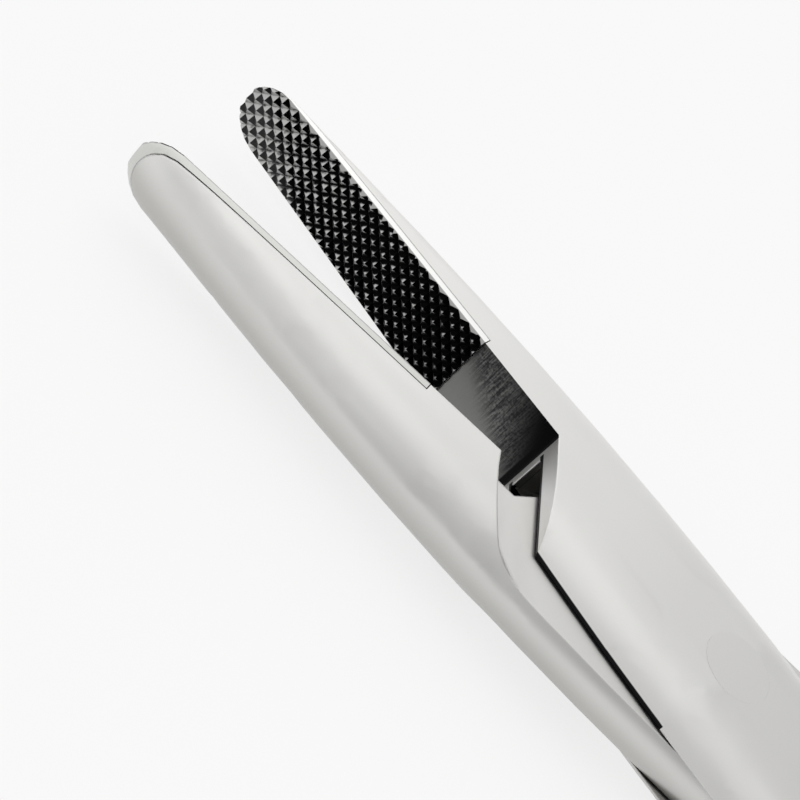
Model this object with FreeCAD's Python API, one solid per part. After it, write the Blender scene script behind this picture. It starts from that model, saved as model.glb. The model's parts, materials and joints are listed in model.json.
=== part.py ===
"""Surgical needle holder: ring handles, ratchet, box lock and knurled carbide inserts.

The tool is drawn closed, along X: the tips point to -X, the rings to +X, and the pivot axis is Z.
The female half has its jaw at +Y and its shank at -Y. The male half has its jaw at -Y, its thin tongue
passes through the slot of the female half, and its shank is at +Y. At the end each half is turned by
half of the opening angle, and the tool is lifted so that it lies on z = 0 with the pivot at x = y = 0.
"""
import FreeCAD, Part
import math
import os
from FreeCAD import Vector

# Whole tool
tool_length = 160.0
jaw_length = 31.5
jaws_open = 13.85

# Outer form at the pivot, at the throat behind the inserts and at the nose
box_half_width = 4.85
box_half_height = 2.5
throat_from_pivot = 17.0
throat_half_width = 3.73
throat_half_height = 2.08
nose_from_pivot = 28.6
nose_half_width = 1.52
nose_half_height = 1.72
flat_share = 0.3
nose_flat_share = 0.18
tip_round = 1.6
tip_end_width_share = 0.5
tip_end_height_share = 0.42
tip_steps = 5
bar_step = 3.6
heel_from_pivot = 15.0
heel_half_width = 5.0
heel_half_height = 2.5

# Box lock
slot_half_height = 1.0
tongue_play = 0.08
face_relief = 0.25
crotch_from_pivot = 11.75
leaf_edge_angle = 51.6
tongue_edge_from_pivot = 11.1
tongue_edge_angle = 51.0
slot_end_gap = 0.3
shoulder_from_pivot = 12.8
shoulder_mid_from_pivot = 11.19
shoulder_mid_side = 3.0
shoulder_end_from_pivot = 8.43
shoulder_end_side = 4.8
shoulder_fillet = 0.6

# Pivot pin
pin_radius = 1.6
pin_play = 0.04

# Carbide inserts and their teeth
insert_length = 14.85
insert_thickness = 0.55
insert_gap = 0.08
braze_gap = 0.05
tooth_along = 0.707
tooth_across = 0.68
tooth_depth = 0.2
groove_overlap = 1.12
insert_bevel = 0.18

# Shanks: they leave the box as half a bar each and stand free, and straight, from shank_start on
shank_start_from_pivot = 36.0
shank_start_offset = 4.0
shank_start_half_width = 2.3
shank_start_half_height = 2.2
shank_end_from_pivot = 90.0
shank_end_offset = 9.7
shank_end_half_width = 2.1
shank_end_half_height = 2.0
shank_step = 5.3
shank_root_flat_share = 0.94
shank_flat_share = 0.7
shank_crown_share = 0.36

# Finger rings
ring_outer_length = 33.0
ring_outer_width = 27.0
ring_bar_thickness = 4.0
ring_bar_flats = 12
ring_end_radius = 10.0
rings_apart = 7.0

# Ratchet
ratchet_from_pivot = 78.0
ratchet_arm_width = 5.2
ratchet_arm_height = 1.7
ratchet_reach = 1.3
ratchet_tip_bulge = 1.0
ratchet_play = 0.12
ratchet_root_radius = 2.2
ratchet_tooth_pitch = 1.3
ratchet_tooth_height = 0.7
ratchet_teeth = 3

# Worked out from the sizes above
insert_end = jaw_length - insert_length
far = tool_length
past_side = 2 * box_half_width
tongue_root = (insert_end + shoulder_from_pivot) / 2
x_axis = Vector(1, 0, 0)
z_axis = Vector(0, 0, 1)
origin = Vector(0, 0, 0)


def mix(a, b, share):
    """Value between a and b."""
    return a + (b - a) * share


def jaw_taper(x, at_pivot, at_throat, at_nose):
    """Size at x that falls off smoothly from the pivot and passes through throat and nose."""
    share = (at_pivot - at_throat) / (at_pivot - at_nose)
    power = math.log(share) / math.log(throat_from_pivot / nose_from_pivot)
    return at_pivot - (at_pivot - at_nose) * (-x / nose_from_pivot) ** power


def bar_size(x):
    """Half width and half height of the closed tool at x."""
    if x > 0:
        share = (x / heel_from_pivot) ** 2
        width = mix(box_half_width, heel_half_width, share)
        height = mix(box_half_height, heel_half_height, share)
        return width, height
    width = jaw_taper(x, box_half_width, throat_half_width, nose_half_width)
    height = jaw_taper(x, box_half_height, throat_half_height, nose_half_height)
    into_tip = max(0.0, (-x - (jaw_length - tip_round)) / tip_round)
    width *= math.sqrt(1 - (1 - tip_end_width_share**2) * into_tip**2)
    height *= math.sqrt(1 - (1 - tip_end_height_share**2) * into_tip**2)
    return width, height


def quarter(x, y, z, along_y, along_z):
    """Quarter ellipse about (x, y, z), from its end on the Y side to its end on the Z side."""
    centre = Vector(x, y, z)
    side = Vector(x, y + along_y, z)
    top = Vector(x, y, z + along_z)
    if abs(along_y) >= abs(along_z):
        ellipse = Part.Ellipse(side, top, centre)
    else:
        ellipse = Part.Ellipse(top, side, centre)
    return Part.ArcOfEllipse(ellipse, 0, math.pi / 2).toShape()


def line(*points):
    """Straight edge between two points (x, y, z)."""
    return Part.LineSegment(Vector(*points[0]), Vector(*points[1])).toShape()


def bar_section(x):
    """Oval section of the closed tool, with a flat land on both faces."""
    width, height = bar_size(x)
    flat = width * mix(flat_share, nose_flat_share, max(0.0, -x) / jaw_length)
    arc = width - flat
    return Part.Wire(
        [
            line((x, -flat, height), (x, flat, height)),
            quarter(x, flat, 0, arc, height),
            quarter(x, flat, 0, arc, -height),
            line((x, flat, -height), (x, -flat, -height)),
            quarter(x, -flat, 0, -arc, -height),
            quarter(x, -flat, 0, -arc, height),
        ]
    )


def spread(start, end, step):
    """Places from start to end, evenly spread and about a step apart."""
    count = round((end - start) / step)
    return [mix(start, end, k / count) for k in range(count + 1)]


def bar_stations():
    """Places of the bar's sections, close together where the tip rounds off."""
    tip_start = -jaw_length + tip_round
    tip = [-jaw_length + tip_round * (k / tip_steps) ** 2 for k in range(tip_steps)]
    return tip + spread(tip_start, heel_from_pivot, bar_step)


def closed_bar():
    """The outer form of jaws and box, both halves together."""
    return Part.makeLoft([bar_section(x) for x in bar_stations()], True, True)


def prism(points, bottom, top):
    """Solid over a plan outline of points (x, y), between two heights."""
    corners = [Vector(x, y, bottom) for x, y in points]
    outline = Part.Face(Part.makePolygon(corners + corners[:1]))
    return outline.extrude(Vector(0, 0, top - bottom))


def mirrored(points):
    """The plan points turned half a turn about the pivot."""
    return [(-x, -y) for x, y in points]


def reach(start, angle, far_y):
    """The point at height far_y in the plan on the line from start at an angle to X."""
    return (start[0] + (far_y - start[1]) / math.tan(math.radians(angle)), far_y)


def shank_size(x):
    """Middle line, half width and half height of the free female shank at x."""
    share = (x - shank_start_from_pivot) / (shank_end_from_pivot - shank_start_from_pivot)
    middle = mix(shank_start_offset, shank_end_offset, share)
    width = mix(shank_start_half_width, shank_end_half_width, share)
    return middle, width, mix(shank_start_half_height, shank_end_half_height, share)


def shank_section(x):
    """Section of the female shank: half of the bar at the box, then smaller, with a flat inner face."""
    way = (x - heel_from_pivot) / (shank_start_from_pivot - heel_from_pivot)
    way = min(1.0, way)
    free = way**2 * (3 - 2 * way)
    box_width, box_height = bar_size(x)
    middle, width, height = shank_size(x)
    inner = mix(face_relief, middle - width, free)
    outer = mix(box_width, middle + width, free)
    centre = mix(flat_share * box_width, mix(inner, outer, shank_crown_share), free)
    height = mix(box_height, height, free)
    flat = height * mix(shank_root_flat_share, shank_flat_share, free)
    return Part.Wire(
        [
            line((x, -inner, flat), (x, -inner, -flat)),
            quarter(x, -centre, -flat, centre - inner, flat - height),
            quarter(x, -centre, 0, centre - outer, -height),
            quarter(x, -centre, 0, centre - outer, height),
            quarter(x, -centre, flat, centre - inner, height - flat),
        ]
    )


def ring_middle():
    """Centre of the female finger ring."""
    return Vector(
        tool_length - jaw_length - ring_outer_length / 2,
        -(rings_apart + ring_outer_width) / 2,
        0,
    )


def finger_ring():
    """Oval ring of the female half: a round bar bent along four tangent arcs."""
    half_length = (ring_outer_length - ring_bar_thickness) / 2
    half_width = (ring_outer_width - ring_bar_thickness) / 2
    end_centre = half_length - ring_end_radius
    side_radius = (end_centre**2 + half_width**2 - ring_end_radius**2) / (2 * (half_width - ring_end_radius))
    side_centre = side_radius - half_width
    turn = math.degrees(math.atan2(side_centre, end_centre))
    middle = ring_middle()
    pieces = []
    for facing in (0, 180):
        centre = middle + Vector(math.cos(math.radians(facing)) * end_centre, 0, 0)
        pieces.append(ring_arc(centre, ring_end_radius, facing - turn, 2 * turn))
        centre = middle - Vector(0, math.cos(math.radians(facing)) * side_centre, 0)
        pieces.append(ring_arc(centre, side_radius, facing + turn, 180 - 2 * turn))
    return pieces[0].fuse(pieces[1:]).removeSplitter()


def ring_arc(centre, radius, start, sweep):
    """One arc of the ring's bar, from an angle to X through a sweep."""
    out = Vector(math.cos(math.radians(start)), math.sin(math.radians(start)), 0)
    corners = []
    for k in range(ring_bar_flats):
        angle = 2 * math.pi * (k + 0.5) / ring_bar_flats
        beside = out * (radius + ring_bar_thickness / 2 * math.cos(angle))
        corners.append(centre + beside + z_axis * (ring_bar_thickness / 2 * math.sin(angle)))
    bar_end = Part.Face(Part.makePolygon(corners + corners[:1]))
    return bar_end.revolve(centre, z_axis, sweep)


def ratchet_arm():
    """Arm of the female half, with teeth on its lower side that face back to its own shank."""
    middle, width, _ = shank_size(ratchet_from_pivot)
    bottom = ratchet_play / 2
    half = ratchet_arm_width / 2
    root = -(middle - width)
    flare = ratchet_root_radius
    corner = ratchet_reach - ratchet_tip_bulge
    x = ratchet_from_pivot
    outline = [
        line((x - half, root + flare, bottom), (x - half, corner, bottom)),
        Part.Arc(
            Vector(x - half, corner, bottom),
            Vector(x, ratchet_reach, bottom),
            Vector(x + half, corner, bottom),
        ).toShape(),
        line((x + half, corner, bottom), (x + half, root + flare, bottom)),
        fillet_arc(x + half, root + flare, flare, 1, bottom),
        line((x + half + flare, root, bottom), (x + half + flare, root - width, bottom)),
        line((x + half + flare, root - width, bottom), (x - half - flare, root - width, bottom)),
        line((x - half - flare, root - width, bottom), (x - half - flare, root, bottom)),
        fillet_arc(x - half, root + flare, flare, -1, bottom),
    ]
    arm = Part.Face(Part.Wire(Part.__sortEdges__(outline))).extrude(Vector(0, 0, ratchet_arm_height))
    notches = []
    for k in range(1, ratchet_teeth + 1):
        edge = ratchet_reach - k * ratchet_tooth_pitch
        corners = [
            Vector(x - ratchet_arm_width, edge, bottom),
            Vector(x - ratchet_arm_width, edge + ratchet_tooth_pitch, bottom),
            Vector(x - ratchet_arm_width, edge + ratchet_tooth_pitch, bottom + ratchet_tooth_height),
        ]
        notch = Part.Face(Part.makePolygon(corners + corners[:1]))
        notches.append(notch.extrude(x_axis * (2 * ratchet_arm_width)))
    return arm.cut(notches)


def fillet_arc(x, y, radius, side, z):
    """Hollow quarter arc where the arm widens into the shank."""
    start = Vector(x, y, z)
    end = Vector(x + side * radius, y - radius, z)
    bend = radius * (1 - math.sqrt(0.5))
    return Part.Arc(start, Vector(x + side * bend, y - radius + bend, z), end).toShape()


def handle():
    """Shank, ratchet arm and finger ring of the female half, from the heel of the box on."""
    shank_stop = ring_middle().x - ring_outer_length / 2 + ring_bar_thickness
    stations = spread(heel_from_pivot, shank_start_from_pivot, shank_step)
    stations += [ratchet_from_pivot - ratchet_arm_width, ratchet_from_pivot + ratchet_arm_width]
    stations += [shank_end_from_pivot, shank_stop]
    shank = Part.makeLoft([shank_section(x) for x in stations], True, True)
    return shank.fuse([ratchet_arm(), finger_ring()])


def other_side(shape):
    """The same shape turned half a turn about X, for the male half."""
    turned = shape.copy()
    turned.rotate(origin, x_axis, 180)
    return turned


def tongue_outline(gap):
    """Plan of the male tongue, or of the slot that clears it by a gap at both ends."""
    slip = gap / math.sin(math.radians(tongue_edge_angle))
    corner = (-tongue_edge_from_pivot - slip, -face_relief)
    half = [
        (-tongue_root, -past_side),
        (-tongue_root, -face_relief),
        corner,
        reach(corner, tongue_edge_angle, past_side),
    ]
    return half + mirrored(half)


def female_half(bar):
    """Jaw, slotted box, shank, ratchet arm and ring of the female half."""
    seat = insert_gap / 2 + insert_thickness + braze_gap
    crotch = (-crotch_from_pivot, face_relief)
    leaf_foot = reach(crotch, 180 - leaf_edge_angle, -past_side)
    jaw_and_box = prism(
        [
            (-far, seat),
            (-insert_end + braze_gap, seat),
            (-insert_end + braze_gap, face_relief),
            crotch,
            leaf_foot,
            (far, -past_side),
            (far, -face_relief),
            (crotch_from_pivot, -face_relief),
            (-leaf_foot[0], past_side),
            (-far, past_side),
        ],
        -far,
        far,
    )
    slot_height = slot_half_height + tongue_play
    slot = prism(tongue_outline(slot_end_gap), -slot_height, slot_height)
    body = bar.common(jaw_and_box).fuse(handle()).cut(slot)
    return body.cut(Part.makeCylinder(pin_radius, 2 * far, Vector(0, 0, -far)))


def full_thickness(corners):
    """Solid on the front side of the shoulder, past which the male half thins to its tongue."""
    shoulder = Part.Arc(
        Vector(-shoulder_from_pivot, -face_relief, -far),
        Vector(-shoulder_mid_from_pivot, -shoulder_mid_side, -far),
        Vector(-shoulder_end_from_pivot, -shoulder_end_side, -far),
    ).toShape()
    edges = [shoulder]
    for a, b in zip(corners, corners[1:]):
        edges.append(line((a[0], a[1], -far), (b[0], b[1], -far)))
    outline = Part.Face(Part.Wire(Part.__sortEdges__(edges)))
    return outline.extrude(Vector(0, 0, 2 * far))


def male_half(bar):
    """Jaw, tongue, shank, ratchet arm and ring of the male half."""
    seat = insert_gap / 2 + insert_thickness + braze_gap
    start = (-shoulder_from_pivot, -face_relief)
    end = (-shoulder_end_from_pivot, -shoulder_end_side)
    jaw_side = [
        end,
        (end[0], -far),
        (-far, -far),
        (-far, -seat),
        (-insert_end + braze_gap, -seat),
        (-insert_end + braze_gap, -face_relief),
        start,
    ]
    shank_side = [end, (end[0], -far), (-far, -far), (-far, -face_relief), start]
    tongue = prism(tongue_outline(0), -slot_half_height, slot_half_height)
    back = full_thickness(shank_side)
    back.rotate(origin, z_axis, 180)
    jaw_and_tongue = full_thickness(jaw_side).fuse([tongue, back])
    body = bar.common(jaw_and_tongue).fuse(other_side(handle()))
    body = body.makeFillet(shoulder_fillet, shoulder_edges(body))
    return body.cut(Part.makeCylinder(pin_radius + pin_play, 2 * far, Vector(0, 0, -far)))


def shoulder_edges(body):
    """The curved edges where both shoulders stand on the flat faces of the tongue."""
    flat = [e for e in body.Edges if type(e.Curve) is Part.Circle]
    return [e for e in flat if all(abs(abs(v.Z) - slot_half_height) < tongue_play for v in e.Vertexes)]


def bevel_section(x):
    """Section of a trough whose sides lean in at the gripping face, to bevel the insert's edges."""
    crest = insert_gap / 2
    height = bar_size(x)[1]
    foot = height - insert_bevel
    top = height + insert_bevel
    side = [(crest, foot), (crest + 2 * insert_bevel, top), (box_half_width, top)]
    corners = [Vector(x, y, z) for y, z in side] + [Vector(x, y, -z) for y, z in reversed(side)]
    return Part.makePolygon(corners + corners[:1])


def carbide_insert(bar):
    """Gripping plate of the female jaw: a blank with two sets of V grooves across each other."""
    crest = insert_gap / 2
    base = crest + insert_thickness
    plan = [(-far, crest), (-insert_end, crest), (-insert_end, base), (-far, base)]
    trough = Part.makeLoft([bevel_section(x) for x in bar_stations()], True, True)
    plate = bar.common(prism(plan, -far, far)).common(trough)
    lean = math.atan2(tooth_across, tooth_along)
    pitch = tooth_along * math.sin(lean)
    middle = Vector(-jaw_length + insert_length / 2, crest, 0)
    cover = insert_length / 2 * math.sin(lean) + throat_half_height * math.cos(lean)
    count = int(cover / pitch) + 1
    for angle in (lean, -lean):
        along = Vector(math.cos(angle), 0, math.sin(angle))
        across = Vector(-math.sin(angle), 0, math.cos(angle))
        places = [middle + across * (k * pitch) for k in range(-count, count + 1)]
        grooves = [v_groove(place, along, across, pitch) for place in places]
        plate = plate.cut(grooves[0::2]).cut(grooves[1::2])
    return plate


def v_groove(middle, along, across, pitch):
    """One V groove, a little wider than its pitch so that the crests end sharp."""
    half = pitch / 2 * groove_overlap
    start = middle - along * insert_length
    corners = [
        start - across * half,
        start + across * half,
        start + Vector(0, tooth_depth, 0),
    ]
    outline = Part.Face(Part.makePolygon(corners + corners[:1]))
    return outline.extrude(along * (2 * insert_length))


def pivot_pin():
    """Rivet through both leaves, ground flush with the box."""
    return Part.makeCylinder(pin_radius, 2 * box_half_height, Vector(0, 0, -box_half_height))


def place(shape, half_turn):
    """Turn a closed piece to the opening of the jaws and lay the tool on z = 0."""
    placed = shape.copy()
    placed.rotate(origin, z_axis, half_turn)
    placed.translate(Vector(0, 0, box_half_height))
    return placed


def build():
    bar = closed_bar()
    insert = carbide_insert(bar)
    female_turn = -jaws_open / 2
    male_turn = jaws_open / 2
    return {
        "female_half": place(female_half(bar), female_turn),
        "pivot_pin": place(pivot_pin(), female_turn),
        "carbide_insert_female": place(insert, female_turn),
        "male_half": place(male_half(bar), male_turn),
        "carbide_insert_male": place(other_side(insert), male_turn),
    }


os.makedirs("parts", exist_ok=True)
for name, shape in build().items():
    shape.exportStep(f"parts/{name}.step")
    print(name, len(shape.Solids), "solid", round(shape.Volume, 2), "mm3", shape.isValid())
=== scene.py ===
# %% [markdown]
# # A needle holder with a box lock and carbide inserts
#
# This notebook dresses the CAD model of a surgical needle holder. The CAD gives the exact form: two
# forged halves, a rivet and two knurled plates of tungsten carbide. Blender gives what the eye knows as
# surgical steel: a satin polish, the cutter marks left inside the jaws and the dark gleam of carbide.
#
# The frame is loaded first, because every size and place below is measured from it.

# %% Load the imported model
import json
import math

import bmesh
import bpy
from mathutils import Matrix, Vector


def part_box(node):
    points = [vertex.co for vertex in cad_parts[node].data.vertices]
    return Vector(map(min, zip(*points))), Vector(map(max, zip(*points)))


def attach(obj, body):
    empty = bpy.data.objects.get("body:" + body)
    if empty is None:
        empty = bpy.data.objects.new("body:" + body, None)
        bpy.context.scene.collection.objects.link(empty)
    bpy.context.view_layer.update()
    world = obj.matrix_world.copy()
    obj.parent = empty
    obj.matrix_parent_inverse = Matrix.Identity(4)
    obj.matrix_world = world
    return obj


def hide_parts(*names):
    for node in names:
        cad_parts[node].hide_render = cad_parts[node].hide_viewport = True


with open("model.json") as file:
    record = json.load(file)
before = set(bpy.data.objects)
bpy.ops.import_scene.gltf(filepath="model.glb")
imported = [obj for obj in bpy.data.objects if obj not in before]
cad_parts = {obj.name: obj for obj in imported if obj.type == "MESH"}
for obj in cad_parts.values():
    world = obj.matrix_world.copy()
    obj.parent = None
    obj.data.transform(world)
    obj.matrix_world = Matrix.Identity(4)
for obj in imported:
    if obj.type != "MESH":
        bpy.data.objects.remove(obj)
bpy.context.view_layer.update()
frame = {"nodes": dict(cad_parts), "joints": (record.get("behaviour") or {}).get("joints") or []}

MM = 0.001

# %% [markdown]
# ## Helpers for colours and nodes
#
# Colours are written as sRGB hex values, as a paint chart gives them, and turned to linear light in one
# place. One function adds a shader node with its settings and its links, so that each material below
# reads from top to bottom like a recipe.


# %% Colour and node helpers
def colour(hex_value):
    """Linear RGBA of an sRGB hex colour."""
    channels = [int(hex_value[i : i + 2], 16) / 255 for i in (1, 3, 5)]
    linear = [c / 12.92 if c <= 0.04045 else ((c + 0.055) / 1.055) ** 2.4 for c in channels]
    return (*linear, 1.0)


def add_node(tree, kind, settings=None, **inputs):
    """A new node. An input is a value, a socket, or a node whose first output feeds it."""
    node = tree.nodes.new(kind)
    for name, value in (settings or {}).items():
        setattr(node, name, value)
    for name, value in inputs.items():
        key = int(name[1:]) if name[0] == "_" else name.replace("_", " ")
        socket = node.inputs[key]
        if isinstance(value, bpy.types.Node):
            value = value.outputs[0]
        if isinstance(value, bpy.types.NodeSocket):
            tree.links.new(value, socket)
        else:
            socket.default_value = value
    return node


def new_material(name):
    """An empty node material, its tree and its output node."""
    material = bpy.data.materials.new(name)
    material.use_nodes = True
    material.node_tree.nodes.clear()
    output = add_node(material.node_tree, "ShaderNodeOutputMaterial")
    return material, material.node_tree, output


print("helpers ready")

# %% [markdown]
# ## Where the jaws lie
#
# Each half was drawn closed and then turned about the pivot by half of the opening. A pattern that runs
# along a jaw has to turn with it, so the angle is read from the record: the joint's lower limit closes
# the jaws. The heights come from the pin, which is as tall as the box is thick.

# %% The opening angle and the middle plane
OPENING = -math.radians(next(j for j in frame["joints"] if j["name"] == "jaws")["range_deg"][0])
FEMALE_TURN = -OPENING / 2
MALE_TURN = OPENING / 2
BOX_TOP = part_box("pivot_pin")[1].z
MIDDLE_HEIGHT = BOX_TOP / 2
print("jaws open by", round(math.degrees(OPENING), 2), "degrees; box", round(BOX_TOP / MM, 2), "mm")

# %% [markdown]
# ## Where a finish begins and ends
#
# A forging is one piece of steel, but not every face of it gets the same work. The shader has to know on
# which face it is. Object coordinates, turned with the jaw, give the place of each point along (x),
# across (y) and above the middle plane (z), all in millimetres here. The surface normal, turned the same
# way, tells in which direction the face looks: two faces that meet at an edge share their place there,
# and only the normal parts them.


# %% Place and direction along the jaw
def jaw_place(tree, turn):
    """Place in millimetres along this half's closed middle line, as a node and as x, y and z."""
    coordinates = add_node(tree, "ShaderNodeTexCoord")
    level = add_node(
        tree,
        "ShaderNodeVectorMath",
        {"operation": "SUBTRACT"},
        _0=coordinates.outputs["Object"],
        _1=(0, 0, MIDDLE_HEIGHT),
    )
    place = add_node(
        tree, "ShaderNodeMapping", Vector=level, Rotation=(0, 0, -turn), Scale=[1 / MM] * 3
    )
    return place, add_node(tree, "ShaderNodeSeparateXYZ", Vector=place).outputs


def facing(tree, turn):
    """The direction in which the surface looks, along the axes of the jaw."""
    normal = add_node(tree, "ShaderNodeTexCoord").outputs["Normal"]
    turned = add_node(
        tree, "ShaderNodeMapping", {"vector_type": "VECTOR"}, Vector=normal, Rotation=(0, 0, -turn)
    )
    return add_node(tree, "ShaderNodeSeparateXYZ", Vector=turned).outputs


print("x along the jaw, y across it, z up from the middle")

# %% [markdown]
# ## Masks
#
# A mask is a number between 0 and 1 that says how much of a finish lies on a point. Three small recipes
# are enough here: "is this value between two others", "is this sum past a border", and "are all of these
# true". A weighted sum of places gives a border that runs slantwise, and noise in the sum makes it ragged.

# %% Masks, sums and layers of colour
SUM_UP = {"operation": "MULTIPLY_ADD"}
PRODUCT = {"operation": "MULTIPLY"}
DIFFERENCE = {"operation": "SUBTRACT"}
SIZE = {"operation": "ABSOLUTE"}
BELOW = {"operation": "LESS_THAN"}
ABOVE = {"operation": "GREATER_THAN"}
SOFT = {"interpolation_type": "SMOOTHSTEP"}
MASK_FADE = 0.05


def sum_of(tree, *terms):
    """The sum of values, each times its weight."""
    total = 0.0
    for value, weight in terms:
        total = add_node(tree, "ShaderNodeMath", SUM_UP, _0=value, _1=weight, _2=total)
    return total


def all_of(tree, *masks):
    """1 only where every mask is 1."""
    product = 1.0
    for mask in masks:
        product = add_node(tree, "ShaderNodeMath", PRODUCT, _0=product, _1=mask)
    return product


def between(tree, value, low, high, fade=MASK_FADE):
    """1 where the value lies between low and high, falling to 0 over a fade on both sides."""
    half = (high - low) / 2
    off_middle = add_node(tree, "ShaderNodeMath", DIFFERENCE, _0=value, _1=(low + high) / 2)
    distance = add_node(tree, "ShaderNodeMath", SIZE, _0=off_middle)
    return add_node(
        tree, "ShaderNodeMapRange", SOFT, Value=distance, From_Min=half + fade, From_Max=half
    )


def past_border(tree, start, stop, *terms):
    """0 where the sum of the terms is at start and 1 where it is at stop, with a soft course."""
    total = sum_of(tree, *terms)
    return add_node(tree, "ShaderNodeMapRange", SOFT, Value=total, From_Min=start, From_Max=stop)


def layered(tree, base, *layers):
    """A colour under others, each laid on where its mask is 1. Colours are hex values or sockets."""
    for mask, top in layers:
        under, over = (colour(c) if isinstance(c, str) else c for c in (base, top))
        mix = add_node(
            tree, "ShaderNodeMix", {"data_type": "RGBA"}, Factor=mask, _6=under, _7=over
        )
        base = mix.outputs[2]
    return base


def stretched_noise(tree, place, lengths, detail=3.0):
    """Noise whose grain has the given lengths in millimetres along X, Y and Z."""
    grain = add_node(tree, "ShaderNodeMapping", Vector=place, Scale=[1 / mm for mm in lengths])
    return add_node(
        tree, "ShaderNodeTexNoise", Vector=grain, Scale=1.0, Detail=detail, Roughness=0.55
    )


print("masks ready")

# %% [markdown]
# ## The milled step
#
# Behind each insert the jaw has a low step that a cutter made and nobody polished, because no needle
# touches it. Its dark base colour is partly the unpolished steel and partly painted shade of the recess.
# The cutter leaves fine marks across the jaw and specks where it tore the steel. Next to the insert the
# wheel that ground the joint has brightened a patch. Towards the box the step is painted dark, as painted
# shade in the corner. Real cutter marks are hundredths of a millimetre apart. They are drawn a little
# coarser, so that the camera can see them.

# %% Finish of the milled step
# Base colour of the step: unpolished steel, darkened further as painted shade of the recess.
MILLED_STEEL_IN_SHADE = "#3E3E3F"
SCRATCHED_STEEL = "#8E8E8C"
GROUND_STEEL = "#868684"
# Painted shade: the near-black laid into the corner of the step towards the box and into the crotch.
CORNER_SHADE = "#141415"
SPECK_GRAIN = (0.13, 0.13, 0.13)
STEP_LENGTH = (-16.6, -11.4)
STEP_LENGTH_FADE = 0.15
STEP_LEVEL = 0.25
STEP_PLAY = 0.03
UPRIGHT = 0.7
SCRATCH_WEIGHTS = (0.55, 0.45)
SCRATCH_BORDER = (0.40, 0.66)
GROUND_WEIGHTS = (0.9, 0.5, 1.2)
GROUND_BORDER = (-6.2, -7.4)
# Where the painted shade of the corner lies on the step.
CORNER_SHADE_WEIGHTS = (1.0, 0.45, 1.6)
CORNER_SHADE_BORDER = (-13.4, -10.6)


def milled_step(tree, place, axes, looks, side, marks):
    """Mask and colour of the step, with painted shade towards the box. side is +1 where the jaw lies at
    +Y.
    """
    x, y, z = axes
    inward = add_node(tree, "ShaderNodeMath", PRODUCT, _0=looks["Y"], _1=side)
    level = side * STEP_LEVEL
    mask = all_of(
        tree,
        between(tree, x, *STEP_LENGTH, STEP_LENGTH_FADE),
        between(tree, y, level - STEP_PLAY, level + STEP_PLAY),
        add_node(tree, "ShaderNodeMath", BELOW, _0=inward, _1=-UPRIGHT),
    )
    specks = stretched_noise(tree, place, SPECK_GRAIN, detail=4.0)
    scratches = sum_of(tree, *zip((marks, specks), SCRATCH_WEIGHTS))
    ground = past_border(tree, *GROUND_BORDER, *zip((z, x, specks), GROUND_WEIGHTS))
    # Painted shade: the step gets darker towards the box, in the corner.
    corner_shade = past_border(tree, *CORNER_SHADE_BORDER, *zip((x, z, scratches), CORNER_SHADE_WEIGHTS))
    finish_and_shade = layered(
        tree,
        MILLED_STEEL_IN_SHADE,
        (past_border(tree, *SCRATCH_BORDER, (scratches, 1.0)), SCRATCHED_STEEL),
        (ground, GROUND_STEEL),
        (corner_shade, CORNER_SHADE),
    )
    return mask, finish_and_shade


print("step from", STEP_LENGTH[0], "to", STEP_LENGTH[1], "mm along the jaw")

# %% [markdown]
# ## The slot of the box
#
# The slot is cut with a broach and can't be polished inside. A narrow band along its rim is painted dark,
# as painted shadow of the gap between the halves. The crotch, the corner where the jaws part, is painted
# dark as well, as painted shade. The upper face of the box is left out by its normal, because the mask
# would spill over the edge onto the polish.

# %% Masks of the slot's rim and the crotch
# Painted shadow: the dark band along the rim of the slot, where the gap between the halves would shade.
SLOT_RIM_SHADOW = "#1C1C1D"
SLOT_CEILING = 1.08
RIM_BELOW = 0.1
RIM_WIDTH = 0.12
RIM_FADE = 0.03
CROTCH = (-12.0, -11.2)
CROTCH_DEPTH = (0.15, 0.75)


def slot_masks(tree, axes, looks):
    """Masks of the painted shadow on the rim of the slot's open sides, and of the painted shade on the
    crotch's upright walls.
    """
    x, y, z = axes
    height = add_node(tree, "ShaderNodeMath", SIZE, _0=z)
    diagonal = add_node(tree, "ShaderNodeMath", PRODUCT, _0=x, _1=y)
    rim_shadow = all_of(
        tree,
        between(tree, height, SLOT_CEILING - RIM_BELOW, SLOT_CEILING + RIM_WIDTH, RIM_FADE),
        add_node(tree, "ShaderNodeMath", ABOVE, _0=diagonal, _1=0.0),
    )
    lean = add_node(tree, "ShaderNodeMath", SIZE, _0=looks["Z"])
    # Painted shade on the crotch's upright walls, the corner where the jaws part.
    crotch_shade = all_of(
        tree,
        between(tree, x, *CROTCH),
        between(tree, y, *CROTCH_DEPTH),
        add_node(tree, "ShaderNodeMath", BELOW, _0=lean, _1=UPRIGHT),
    )
    return rim_shadow, crotch_shade


print("rim_shadow", RIM_WIDTH, "mm wide above the slot's ceiling")

# %% [markdown]
# ## Soft edges and fine lines
#
# A hand-polished edge is never quite sharp. The Bevel node rounds it for the light alone, by a tenth of a
# millimetre. The rivet is ground flush with the box, so that its outline nearly vanishes: around it the
# rounding is left out. Two bumps follow. The polishing wheel leaves very fine lines along the tool, and
# the cutter leaves coarser marks on the milled step.

# %% Relief of the steel
EDGE_ROUNDING = 0.1 * MM
RIVET_ZONE = 2.2
LINE_GRAIN = (9.0, 0.25, 0.25)
LINE_DEPTH = 0.01 * MM
LINE_STRENGTH = 0.1
MARK_DEPTH = 0.03 * MM
MARK_STRENGTH = 0.6


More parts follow.
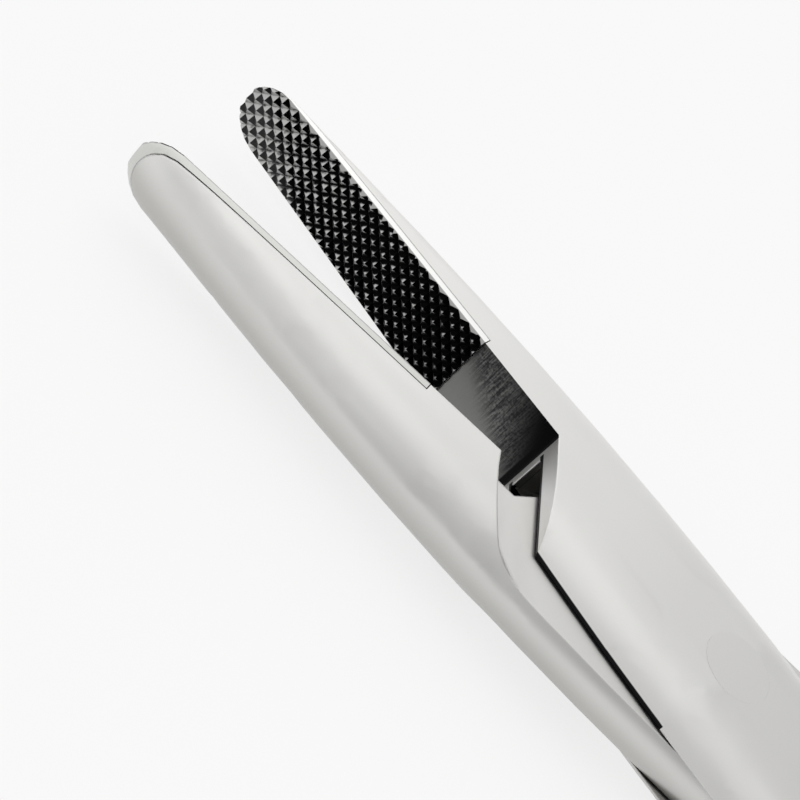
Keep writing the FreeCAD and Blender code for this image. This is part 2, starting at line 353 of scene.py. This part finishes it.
def steel_relief(tree, place, marks, step):
    """The normal of the steel: soft edges, satin lines, and cutter marks on the step."""
    flat = add_node(tree, "ShaderNodeVectorMath", PRODUCT, _0=place, _1=(1, 1, 0))
    from_pivot = add_node(tree, "ShaderNodeVectorMath", {"operation": "LENGTH"}, _0=flat)
    off_rivet = add_node(
        tree, "ShaderNodeMath", ABOVE, _0=from_pivot.outputs["Value"], _1=RIVET_ZONE
    )
    rounding = add_node(tree, "ShaderNodeMath", PRODUCT, _0=off_rivet, _1=EDGE_ROUNDING)
    soft_edges = add_node(tree, "ShaderNodeBevel", {"samples": 6}, Radius=rounding)
    satin = add_node(
        tree,
        "ShaderNodeBump",
        Strength=LINE_STRENGTH,
        Distance=LINE_DEPTH,
        Height=stretched_noise(tree, place, LINE_GRAIN),
        Normal=soft_edges,
    )
    return add_node(
        tree,
        "ShaderNodeBump",
        Strength=MARK_STRENGTH,
        Distance=MARK_DEPTH,
        Height=all_of(tree, marks, step),
        Normal=satin,
    )


print("edges rounded by", EDGE_ROUNDING / MM, "mm")

# %% [markdown]
# ## Satin steel
#
# The halves are drop-forged martensitic stainless steel, ground and then satin polished with a fine
# abrasive wheel. The wheel's lines are far too fine to see one by one, but they blur reflections and give
# soft bands along the jaw. Noise stretched along the jaw draws them, coarser than the real lines so that
# a camera can see them at all. Below the upper edge the colour is painted darker, as painted shade on the
# sides and the underside. Slow clouds of roughness are the traces of a hand that presses the piece
# against the wheel.

# %% Material: satin-polished stainless steel
STEEL = "#E1E0DE"
# Painted shade: a darker copy of the steel for the sides and the underside, below the upper edge.
SHADED_FLANK_STEEL = "#C0BFBC"
FLANK_SHADE_BORDER = (1.1, -0.7)
CLOUD_GRAIN = (6.0, 2.2, 2.2)
MILL_MARK_GRAIN = (0.07, 0.8, 0.9)
POLISH_ROUGHNESS = (0.30, 0.42)
STEP_ROUGHER = 0.12


def satin_steel(name, turn, side, slotted):
    """Steel of one half. side is +1 where the jaw lies at +Y; slotted adds the painted shadow at the
    slot's rim and the painted shade in the crotch.
    """
    material, tree, output = new_material(name)
    place, axes = jaw_place(tree, turn)
    looks = facing(tree, turn)
    marks = stretched_noise(tree, place, MILL_MARK_GRAIN, detail=6.0)
    step, milled = milled_step(tree, place, axes, looks, side, marks)
    # Painted shade below the upper edge.
    flank_shade = past_border(tree, *FLANK_SHADE_BORDER, (axes["Z"], 1.0))
    base = layered(tree, STEEL, (flank_shade, SHADED_FLANK_STEEL), (step, milled))
    if slotted:
        # Painted shadow at the slot's rim and painted shade in the crotch.
        rim_shadow, crotch_shade = slot_masks(tree, axes, looks)
        base = layered(tree, base, (rim_shadow, SLOT_RIM_SHADOW), (crotch_shade, CORNER_SHADE))
    polish = add_node(
        tree,
        "ShaderNodeMapRange",
        Value=stretched_noise(tree, place, CLOUD_GRAIN),
        To_Min=POLISH_ROUGHNESS[0],
        To_Max=POLISH_ROUGHNESS[1],
    )
    shader = add_node(
        tree,
        "ShaderNodeBsdfPrincipled",
        Base_Color=base,
        Metallic=1.0,
        Roughness=sum_of(tree, (polish, 1.0), (step, STEP_ROUGHER)),
        Normal=steel_relief(tree, place, marks, step),
    )
    tree.links.new(shader.outputs["BSDF"], output.inputs["Surface"])
    return material


STEEL_FEMALE = satin_steel("satin_stainless_steel_female", FEMALE_TURN, +1, True)
STEEL_MALE = satin_steel("satin_stainless_steel_male", MALE_TURN, -1, False)
print("steel made for both halves")

# %% [markdown]
# ## Tungsten carbide
#
# The inserts are sintered tungsten carbide: hard, grey-black and ground with diamond wheels. The teeth are
# in the mesh, and the material says how bright each of their faces is, as painted light and shade. The
# crests and the facets that look towards the tip are painted light, as painted highlight, while those that
# look towards the box or up are painted dark, as painted shade. The pits between the teeth are painted
# darker towards the box, as painted shade, and grey near the tip, as painted light. The long edges were
# broken with a wheel. The sides were polished together with the jaw after brazing, so there the plate is
# almost as light as the steel; the female insert's sides are painted lighter and the male's darker, as
# painted light and shade. Real carbide grain is about a thousandth of a millimetre. It is drawn much
# coarser here, as a faint unevenness.

# %% Colours and sizes of the carbide
# Painted highlight: crests and facets that look towards the tip.
CARBIDE_LIT_FACET = "#B8B8B7"
# Painted shade: pits and facets that look towards the box or up.
CARBIDE_SHADED_FACET = "#080809"
# Painted light: the grey of the pits near the tip.
LIT_PIT_GREY = "#505050"
CARBIDE_EDGE = "#A6A6A4"
# Polished sides of the inserts: the female's is painted lighter and the male's darker, as painted light
# and shade.
CARBIDE_SIDE_LIT_FEMALE = "#F2F2F0"
CARBIDE_SIDE_SHADED_MALE = "#D2D2CF"
CARBIDE_ROUGHNESS = (0.22, 0.40)
CARBIDE_GRAIN = (0.08, 0.08, 0.08)
PATCH_GRAIN = (0.35, 0.35, 0.35)
PATCHINESS = 1.1
CREST_LEVEL = 0.04
TOOTH_DEPTH = 0.2
TOOTH_FLOOR = 0.25
SIDE_FADE = 0.04
KNURL_LENGTH = (-31.5, -16.65)
# Painted shade: how strongly the pits darken, from the tip to the box.
PIT_SHADE_WEIGHTS = (0.4, 1.75)
TURNED_AWAY = 0.8
LIGHT_BORDER = (0.70, 0.40)
LIT_PIT_SLANT = 1.5
LIT_PIT_BORDER = (-28.6, -30.6)
EDGE_LOOKS = (-0.15, 0.15)
EDGE_LEAN = 0.4
print("teeth", TOOTH_DEPTH, "mm deep")


# %% Material: ground tungsten carbide
def carbide_finish(tree, place, axes, looks, side_colour):
    """The colour of an insert, from the crests down to the pits and out to the sides, as painted light and
    shade.
    """
    x, y, z = axes
    depth = add_node(tree, "ShaderNodeMath", SIZE, _0=y)
    below_crest = add_node(tree, "ShaderNodeMath", DIFFERENCE, _0=depth, _1=CREST_LEVEL)
    into_pit = sum_of(tree, (below_crest, 1 / TOOTH_DEPTH))
    # Painted shade: the pits get darker towards the box.
    pit_shade_towards_box = add_node(
        tree,
        "ShaderNodeMapRange",
        Value=x,
        From_Min=KNURL_LENGTH[0],
        From_Max=KNURL_LENGTH[1],
        To_Min=PIT_SHADE_WEIGHTS[0],
        To_Max=PIT_SHADE_WEIGHTS[1],
    )
    patches = stretched_noise(tree, place, PATCH_GRAIN)
    uneven = add_node(tree, "ShaderNodeMath", DIFFERENCE, _0=patches, _1=0.5)
    # Painted light and shade: crests and facets that look towards the tip are light, the rest dark.
    lit_facets = past_border(
        tree,
        *LIGHT_BORDER,
        (into_pit, pit_shade_towards_box),
        (looks["X"], TURNED_AWAY),
        (looks["Z"], TURNED_AWAY),
        (uneven, PATCHINESS),
    )
    # Painted light: the pits turn grey near the tip.
    lit_pits = past_border(tree, *LIT_PIT_BORDER, (x, 1.0), (z, LIT_PIT_SLANT))
    lean = add_node(tree, "ShaderNodeMath", SIZE, _0=looks["Z"])
    long_edge = all_of(
        tree,
        between(tree, looks["X"], *EDGE_LOOKS),
        add_node(tree, "ShaderNodeMath", ABOVE, _0=lean, _1=EDGE_LEAN),
    )
    sides = past_border(tree, TOOTH_FLOOR, TOOTH_FLOOR + SIDE_FADE, (depth, 1.0))
    return layered(
        tree,
        CARBIDE_SHADED_FACET,
        (lit_pits, LIT_PIT_GREY),
        (lit_facets, CARBIDE_LIT_FACET),
        (long_edge, CARBIDE_EDGE),
        (sides, side_colour),
    )


def carbide(name, turn, side_colour):
    """Ground carbide of one insert."""
    material, tree, output = new_material(name)
    place, axes = jaw_place(tree, turn)
    roughness = add_node(
        tree,
        "ShaderNodeMapRange",
        Value=stretched_noise(tree, place, CARBIDE_GRAIN, detail=2.0),
        To_Min=CARBIDE_ROUGHNESS[0],
        To_Max=CARBIDE_ROUGHNESS[1],
    )
    shader = add_node(
        tree,
        "ShaderNodeBsdfPrincipled",
        Base_Color=carbide_finish(tree, place, axes, facing(tree, turn), side_colour),
        Metallic=1.0,
        Roughness=roughness,
    )
    tree.links.new(shader.outputs["BSDF"], output.inputs["Surface"])
    return material


# The female insert's sides are painted lighter and the male's darker, as painted light and shade.
CARBIDE_FEMALE = carbide("ground_tungsten_carbide_female", FEMALE_TURN, CARBIDE_SIDE_LIT_FEMALE)
CARBIDE_MALE = carbide("ground_tungsten_carbide_male", MALE_TURN, CARBIDE_SIDE_SHADED_MALE)
print("carbide made for both inserts")

# %% [markdown]
# ## Dressing the CAD pieces
#
# The inserts and the pin keep their CAD meshes and only take a finish. Their flat facets are real ones,
# so nothing about them needs smoothing.


# %% Give the small pieces their material
def dress(node, material):
    """Put one material on a CAD node."""
    piece = frame["nodes"][node]
    if not piece.material_slots:
        piece.data.materials.append(material)
    for place in piece.material_slots:
        place.material = material
    print(node, "wears", material.name)


dress("pivot_pin", STEEL_FEMALE)
dress("carbide_insert_female", CARBIDE_FEMALE)
dress("carbide_insert_male", CARBIDE_MALE)

# %% [markdown]
# ## Polishing the halves
#
# The forgings are hand-polished, so their curves flow. The CAD mesh is cut into short flat strips, and
# each strip would show as a band in the reflections. A copy of the mesh is merged into one skin and
# smoothed everywhere, except where two faces meet at a real edge. The copy replaces the CAD node and
# moves with the same body.

# %% Smooth copies of the two halves
REAL_EDGE = math.radians(36)
MERGE_DISTANCE = 0.0005 * MM


def polished_copy(node, name, body, material):
    """One merged and smoothed skin of a CAD node, which takes its place."""
    skin = bmesh.new()
    skin.from_mesh(frame["nodes"][node].data)
    bmesh.ops.remove_doubles(skin, verts=skin.verts, dist=MERGE_DISTANCE)
    for face in skin.faces:
        face.smooth = True
        face.material_index = 0
    real_edges = 0
    for edge in skin.edges:
        sharp = len(edge.link_faces) != 2 or edge.calc_face_angle(0.0) > REAL_EDGE
        edge.smooth = not sharp
        real_edges += sharp
    mesh = bpy.data.meshes.new(name)
    skin.to_mesh(mesh)
    skin.free()
    if "custom_normal" in mesh.attributes:
        mesh.attributes.remove(mesh.attributes["custom_normal"])
    mesh.materials.append(material)
    piece = bpy.data.objects.new(name, mesh)
    bpy.context.scene.collection.objects.link(piece)
    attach(piece, body)
    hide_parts(node)
    print(name, len(mesh.polygons), "faces,", real_edges, "real edges")


polished_copy("female_half", "polished_female_half", "female", STEEL_FEMALE)
polished_copy("male_half", "polished_male_half", "male", STEEL_MALE)

# %% [markdown]
# ## The floor
#
# The tool lies on white paper. The paper has to look white to the camera without throwing more light on
# the steel, so a part of its colour is a glow that only camera, glossy and transmission rays see. The
# rest is plain paper, which takes the soft shadow.

# %% Floor of white paper
FLOOR_SIZE = 3.0
FLOOR_GAP = 0.05 * MM
PAPER = "#FAFAFA"
WHITE = "#FFFFFF"
PAPER_ROUGHNESS = 0.9
PAPER_GLOW = 0.75
half = FLOOR_SIZE / 2
floor_corners = [(-half, -half, 0), (half, -half, 0), (half, half, 0), (-half, half, 0)]
floor_mesh = bpy.data.meshes.new("floor")
floor_mesh.from_pydata(floor_corners, [], [(0, 1, 2, 3)])
floor = bpy.data.objects.new("floor", floor_mesh)
bpy.context.scene.collection.objects.link(floor)
floor.location.z = -FLOOR_GAP
material, tree, output = new_material("white_paper")
paper = add_node(
    tree, "ShaderNodeBsdfPrincipled", Base_Color=colour(PAPER), Roughness=PAPER_ROUGHNESS
)
glow = add_node(tree, "ShaderNodeEmission", Color=colour(WHITE), Strength=1.0)
path = add_node(tree, "ShaderNodeLightPath")
seen = 0.0
for ray in ("Is Camera Ray", "Is Glossy Ray", "Is Transmission Ray"):
    seen = add_node(tree, "ShaderNodeMath", {"operation": "MAXIMUM"}, _0=seen, _1=path.outputs[ray])
blend = add_node(
    tree, "ShaderNodeMixShader", _0=sum_of(tree, (seen, PAPER_GLOW)), _1=paper, _2=glow
)
tree.links.new(blend.outputs["Shader"], output.inputs["Surface"])
floor_mesh.materials.append(material)
print("floor laid")

# %% [markdown]
# ## The light
#
# A catalogue photograph of steel needs large soft lights: metal shows nothing but what it reflects. The
# tool lies in a tent of white cloth, which is the world here. The cloth is brightest behind the tool and
# to the left of its tips. It is dimmer at the camera's side, which gives the round jaws their darker lower
# edge, and over the handles, which keeps the flat box from clipping to white. One weak soft lamp overhead
# adds the gleam.

# %% World: a tent of white cloth
TENT_DIM = 0.70
TENT_BRIGHT = 1.12
TENT_RISE = 0.3
TENT_LEFT = 1.12
TENT_RIGHT = 0.55
TENT_SEAM = 0.35
world = bpy.data.worlds.new("light_tent")
bpy.context.scene.world = world
world.use_nodes = True
tent = world.node_tree
tent.nodes.clear()
world_output = add_node(tent, "ShaderNodeOutputWorld")
direction = add_node(tent, "ShaderNodeTexCoord").outputs["Generated"]
ways = add_node(tent, "ShaderNodeSeparateXYZ", Vector=direction).outputs
cloth = add_node(
    tent,
    "ShaderNodeMapRange",
    Value=sum_of(tent, (ways["Y"], 1.0), (ways["Z"], TENT_RISE)),
    From_Min=-1.0,
    From_Max=1.0,
    To_Min=TENT_DIM,
    To_Max=TENT_BRIGHT,
)
sideways = add_node(
    tent,
    "ShaderNodeMapRange",
    SOFT,
    Value=ways["X"],
    From_Min=-TENT_SEAM,
    From_Max=TENT_SEAM,
    To_Min=TENT_LEFT,
    To_Max=TENT_RIGHT,
)
background = add_node(
    tent, "ShaderNodeBackground", Color=colour(WHITE), Strength=all_of(tent, cloth, sideways)
)
tent.links.new(background.outputs["Background"], world_output.inputs["Surface"])
print("tent from", TENT_DIM, "to", TENT_BRIGHT)

# %% Lamp: one soft box overhead
LAMP_PLACE = Vector((-20, -30, 450)) * MM
LAMP_TARGET = Vector((-15, 0, 0)) * MM
LAMP_SIZE = 0.3
LAMP_POWER = 0.05
light = bpy.data.lights.new("overhead", "AREA")
light.size = LAMP_SIZE
light.energy = LAMP_POWER
lamp = bpy.data.objects.new("overhead", light)
lamp.location = LAMP_PLACE
lamp.rotation_euler = (LAMP_TARGET - LAMP_PLACE).to_track_quat("-Z", "Y").to_euler()
bpy.context.scene.collection.objects.link(lamp)
print("one soft lamp overhead")

# %% [markdown]
# ## The camera
#
# The photograph is a close view of the jaws, from the male side and from about 40 degrees above. The
# camera looks at a point on the upper face between the jaws and is rolled until the tool runs from the
# upper left to the lower right.

# %% Camera
AIM = Vector((-16.92, -1.79, 2.5)) * MM
AZIMUTH = math.radians(4.72)
ELEVATION = math.radians(39.54)
ROLL = math.radians(45.63)
DISTANCE = 87.73 * MM
LENS = 97.85
SENSOR_WIDTH = 36
camera_data = bpy.data.cameras.new("camera")
camera_data.lens = LENS
camera_data.sensor_width = SENSOR_WIDTH
camera_data.clip_start = 0.01
camera = bpy.data.objects.new("camera", camera_data)
away = Vector(
    (
        math.cos(ELEVATION) * math.sin(AZIMUTH),
        -math.cos(ELEVATION) * math.cos(AZIMUTH),
        math.sin(ELEVATION),
    )
)
camera.matrix_world = (
    Matrix.Translation(AIM + away * DISTANCE)
    @ away.to_track_quat("Z", "Y").to_matrix().to_4x4()
    @ Matrix.Rotation(ROLL, 4, "Z")
)
bpy.context.scene.collection.objects.link(camera)
bpy.context.scene.camera = camera
bpy.context.scene.view_settings.view_transform = "Standard"
print("camera at", [round(v / MM, 1) for v in camera.matrix_world.translation], "mm")
